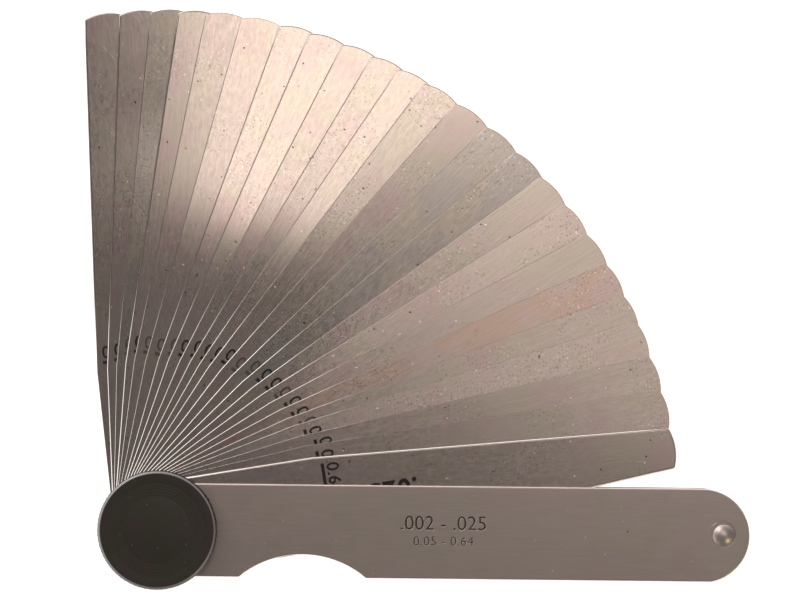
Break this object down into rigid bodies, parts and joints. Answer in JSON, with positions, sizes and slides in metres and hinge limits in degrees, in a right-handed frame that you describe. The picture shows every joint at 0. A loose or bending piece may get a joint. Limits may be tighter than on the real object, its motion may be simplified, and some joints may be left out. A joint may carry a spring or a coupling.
{
  "type": "feeler gauge",
  "caption": "Fan of tapered steel thickness leaves that turn on one stud between two side plates, held by a knurled lock nut.",
  "frame": {"origin": "on the stud's axis, at the flat rear face of the stud's head that the gauge lies on", "axes": "+Z along the stud's axis towards the lock nut; +X along the case from the stud to the end rivet; the leaves open from +X towards +Y"},
  "size_m": [0.0904, 0.0783, 0.0154],
  "materials": {
    "case_steel": "satin, fine lengthwise grain, slightly warm",
    "leaf_steel": "smooth ground spring steel with fine grain",
    "nut_steel": "blackened, turned face and knurled rim",
    "washer_steel": "dark spring steel",
    "stud_steel": "turned steel",
    "rivet_steel": "smooth domed steel"
  },
  "bodies": {
    "case": {"front_plate": "case_steel", "rear_plate": "case_steel", "pivot_stud": "stud_steel", "end_rivet": "rivet_steel", "rivet_spacer": "stud_steel"},
    "friction_washer": {"friction_washer": "washer_steel"},
    "lock_nut": {"lock_nut": "nut_steel"},
    "leaf_025": {"leaf_025": "leaf_steel"},
    "leaf_002": {"leaf_002": "leaf_steel"},
    "leaf_003": {"leaf_003": "leaf_steel"},
    "leaf_004": {"leaf_004": "leaf_steel"},
    "leaf_005": {"leaf_005": "leaf_steel"},
    "leaf_006": {"leaf_006": "leaf_steel"},
    "leaf_007": {"leaf_007": "leaf_steel"},
    "leaf_008": {"leaf_008": "leaf_steel"},
    "leaf_009": {"leaf_009": "leaf_steel"},
    "leaf_010": {"leaf_010": "leaf_steel"},
    "leaf_011": {"leaf_011": "leaf_steel"},
    "leaf_012": {"leaf_012": "leaf_steel"},
    "leaf_013": {"leaf_013": "leaf_steel"},
    "leaf_014": {"leaf_014": "leaf_steel"},
    "leaf_015": {"leaf_015": "leaf_steel"},
    "leaf_016": {"leaf_016": "leaf_steel"},
    "leaf_017": {"leaf_017": "leaf_steel"},
    "leaf_018": {"leaf_018": "leaf_steel"},
    "leaf_019": {"leaf_019": "leaf_steel"},
    "leaf_020": {"leaf_020": "leaf_steel"},
    "leaf_021": {"leaf_021": "leaf_steel"},
    "leaf_022": {"leaf_022": "leaf_steel"},
    "leaf_023": {"leaf_023": "leaf_steel"},
    "leaf_024": {"leaf_024": "leaf_steel"}
  },
  "joints": [
    {"name": "nut_lift", "type": "slide", "parent": "case", "child": "friction_washer", "axis": [0, 0, 1], "range_m": [0, 0.001]},
    {"name": "nut_turn", "type": "hinge", "parent": "friction_washer", "child": "lock_nut", "pos_m": [0, 0, 0], "axis": [0, 0, 1], "range_deg": [0, 720]},
    {"name": "leaf_025_turn", "type": "hinge", "parent": "case", "child": "leaf_025", "pos_m": [0, 0, 0], "axis": [0, 0, 1], "range_deg": [-9.6, 170.4]},
    {"name": "leaf_002_turn", "type": "hinge", "parent": "case", "child": "leaf_002", "pos_m": [0, 0, 0], "axis": [0, 0, 1], "range_deg": [-13.9, 166.1]},
    {"name": "leaf_003_turn", "type": "hinge", "parent": "case", "child": "leaf_003", "pos_m": [0, 0, 0], "axis": [0, 0, 1], "range_deg": [-17.8, 162.2]},
    {"name": "leaf_004_turn", "type": "hinge", "parent": "case", "child": "leaf_004", "pos_m": [0, 0, 0], "axis": [0, 0, 1], "range_deg": [-22, 158]},
    {"name": "leaf_005_turn", "type": "hinge", "parent": "case", "child": "leaf_005", "pos_m": [0, 0, 0], "axis": [0, 0, 1], "range_deg": [-25.2, 154.8]},
    {"name": "leaf_006_turn", "type": "hinge", "parent": "case", "child": "leaf_006", "pos_m": [0, 0, 0], "axis": [0, 0, 1], "range_deg": [-29.1, 150.9]},
    {"name": "leaf_007_turn", "type": "hinge", "parent": "case", "child": "leaf_007", "pos_m": [0, 0, 0], "axis": [0, 0, 1], "range_deg": [-33, 147]},
    {"name": "leaf_008_turn", "type": "hinge", "parent": "case", "child": "leaf_008", "pos_m": [0, 0, 0], "axis": [0, 0, 1], "range_deg": [-37.1, 142.9]},
    {"name": "leaf_009_turn", "type": "hinge", "parent": "case", "child": "leaf_009", "pos_m": [0, 0, 0], "axis": [0, 0, 1], "range_deg": [-41.1, 138.9]},
    {"name": "leaf_010_turn", "type": "hinge", "parent": "case", "child": "leaf_010", "pos_m": [0, 0, 0], "axis": [0, 0, 1], "range_deg": [-45, 135]},
    {"name": "leaf_011_turn", "type": "hinge", "parent": "case", "child": "leaf_011", "pos_m": [0, 0, 0], "axis": [0, 0, 1], "range_deg": [-49.2, 130.8]},
    {"name": "leaf_012_turn", "type": "hinge", "parent": "case", "child": "leaf_012", "pos_m": [0, 0, 0], "axis": [0, 0, 1], "range_deg": [-53.5, 126.5]},
    {"name": "leaf_013_turn", "type": "hinge", "parent": "case", "child": "leaf_013", "pos_m": [0, 0, 0], "axis": [0, 0, 1], "range_deg": [-57.6, 122.4]},
    {"name": "leaf_014_turn", "type": "hinge", "parent": "case", "child": "leaf_014", "pos_m": [0, 0, 0], "axis": [0, 0, 1], "range_deg": [-60.9, 119.1]},
    {"name": "leaf_015_turn", "type": "hinge", "parent": "case", "child": "leaf_015", "pos_m": [0, 0, 0], "axis": [0, 0, 1], "range_deg": [-64.2, 115.8]},
    {"name": "leaf_016_turn", "type": "hinge", "parent": "case", "child": "leaf_016", "pos_m": [0, 0, 0], "axis": [0, 0, 1], "range_deg": [-67.7, 112.3]},
    {"name": "leaf_017_turn", "type": "hinge", "parent": "case", "child": "leaf_017", "pos_m": [0, 0, 0], "axis": [0, 0, 1], "range_deg": [-71.6, 108.4]},
    {"name": "leaf_018_turn", "type": "hinge", "parent": "case", "child": "leaf_018", "pos_m": [0, 0, 0], "axis": [0, 0, 1], "range_deg": [-75, 105]},
    {"name": "leaf_019_turn", "type": "hinge", "parent": "case", "child": "leaf_019", "pos_m": [0, 0, 0], "axis": [0, 0, 1], "range_deg": [-79.3, 100.7]},
    {"name": "leaf_020_turn", "type": "hinge", "parent": "case", "child": "leaf_020", "pos_m": [0, 0, 0], "axis": [0, 0, 1], "range_deg": [-83.3, 96.7]},
    {"name": "leaf_021_turn", "type": "hinge", "parent": "case", "child": "leaf_021", "pos_m": [0, 0, 0], "axis": [0, 0, 1], "range_deg": [-86.4, 93.6]},
    {"name": "leaf_022_turn", "type": "hinge", "parent": "case", "child": "leaf_022", "pos_m": [0, 0, 0], "axis": [0, 0, 1], "range_deg": [-89.5, 90.5]},
    {"name": "leaf_023_turn", "type": "hinge", "parent": "case", "child": "leaf_023", "pos_m": [0, 0, 0], "axis": [0, 0, 1], "range_deg": [-93, 87]},
    {"name": "leaf_024_turn", "type": "hinge", "parent": "case", "child": "leaf_024", "pos_m": [0, 0, 0], "axis": [0, 0, 1], "range_deg": [-96.9, 83.1]}
  ],
  "couplings": [
    {"joint": "nut_lift", "follows": "nut_turn", "m_per_rad": 0.000079577}
  ]
}
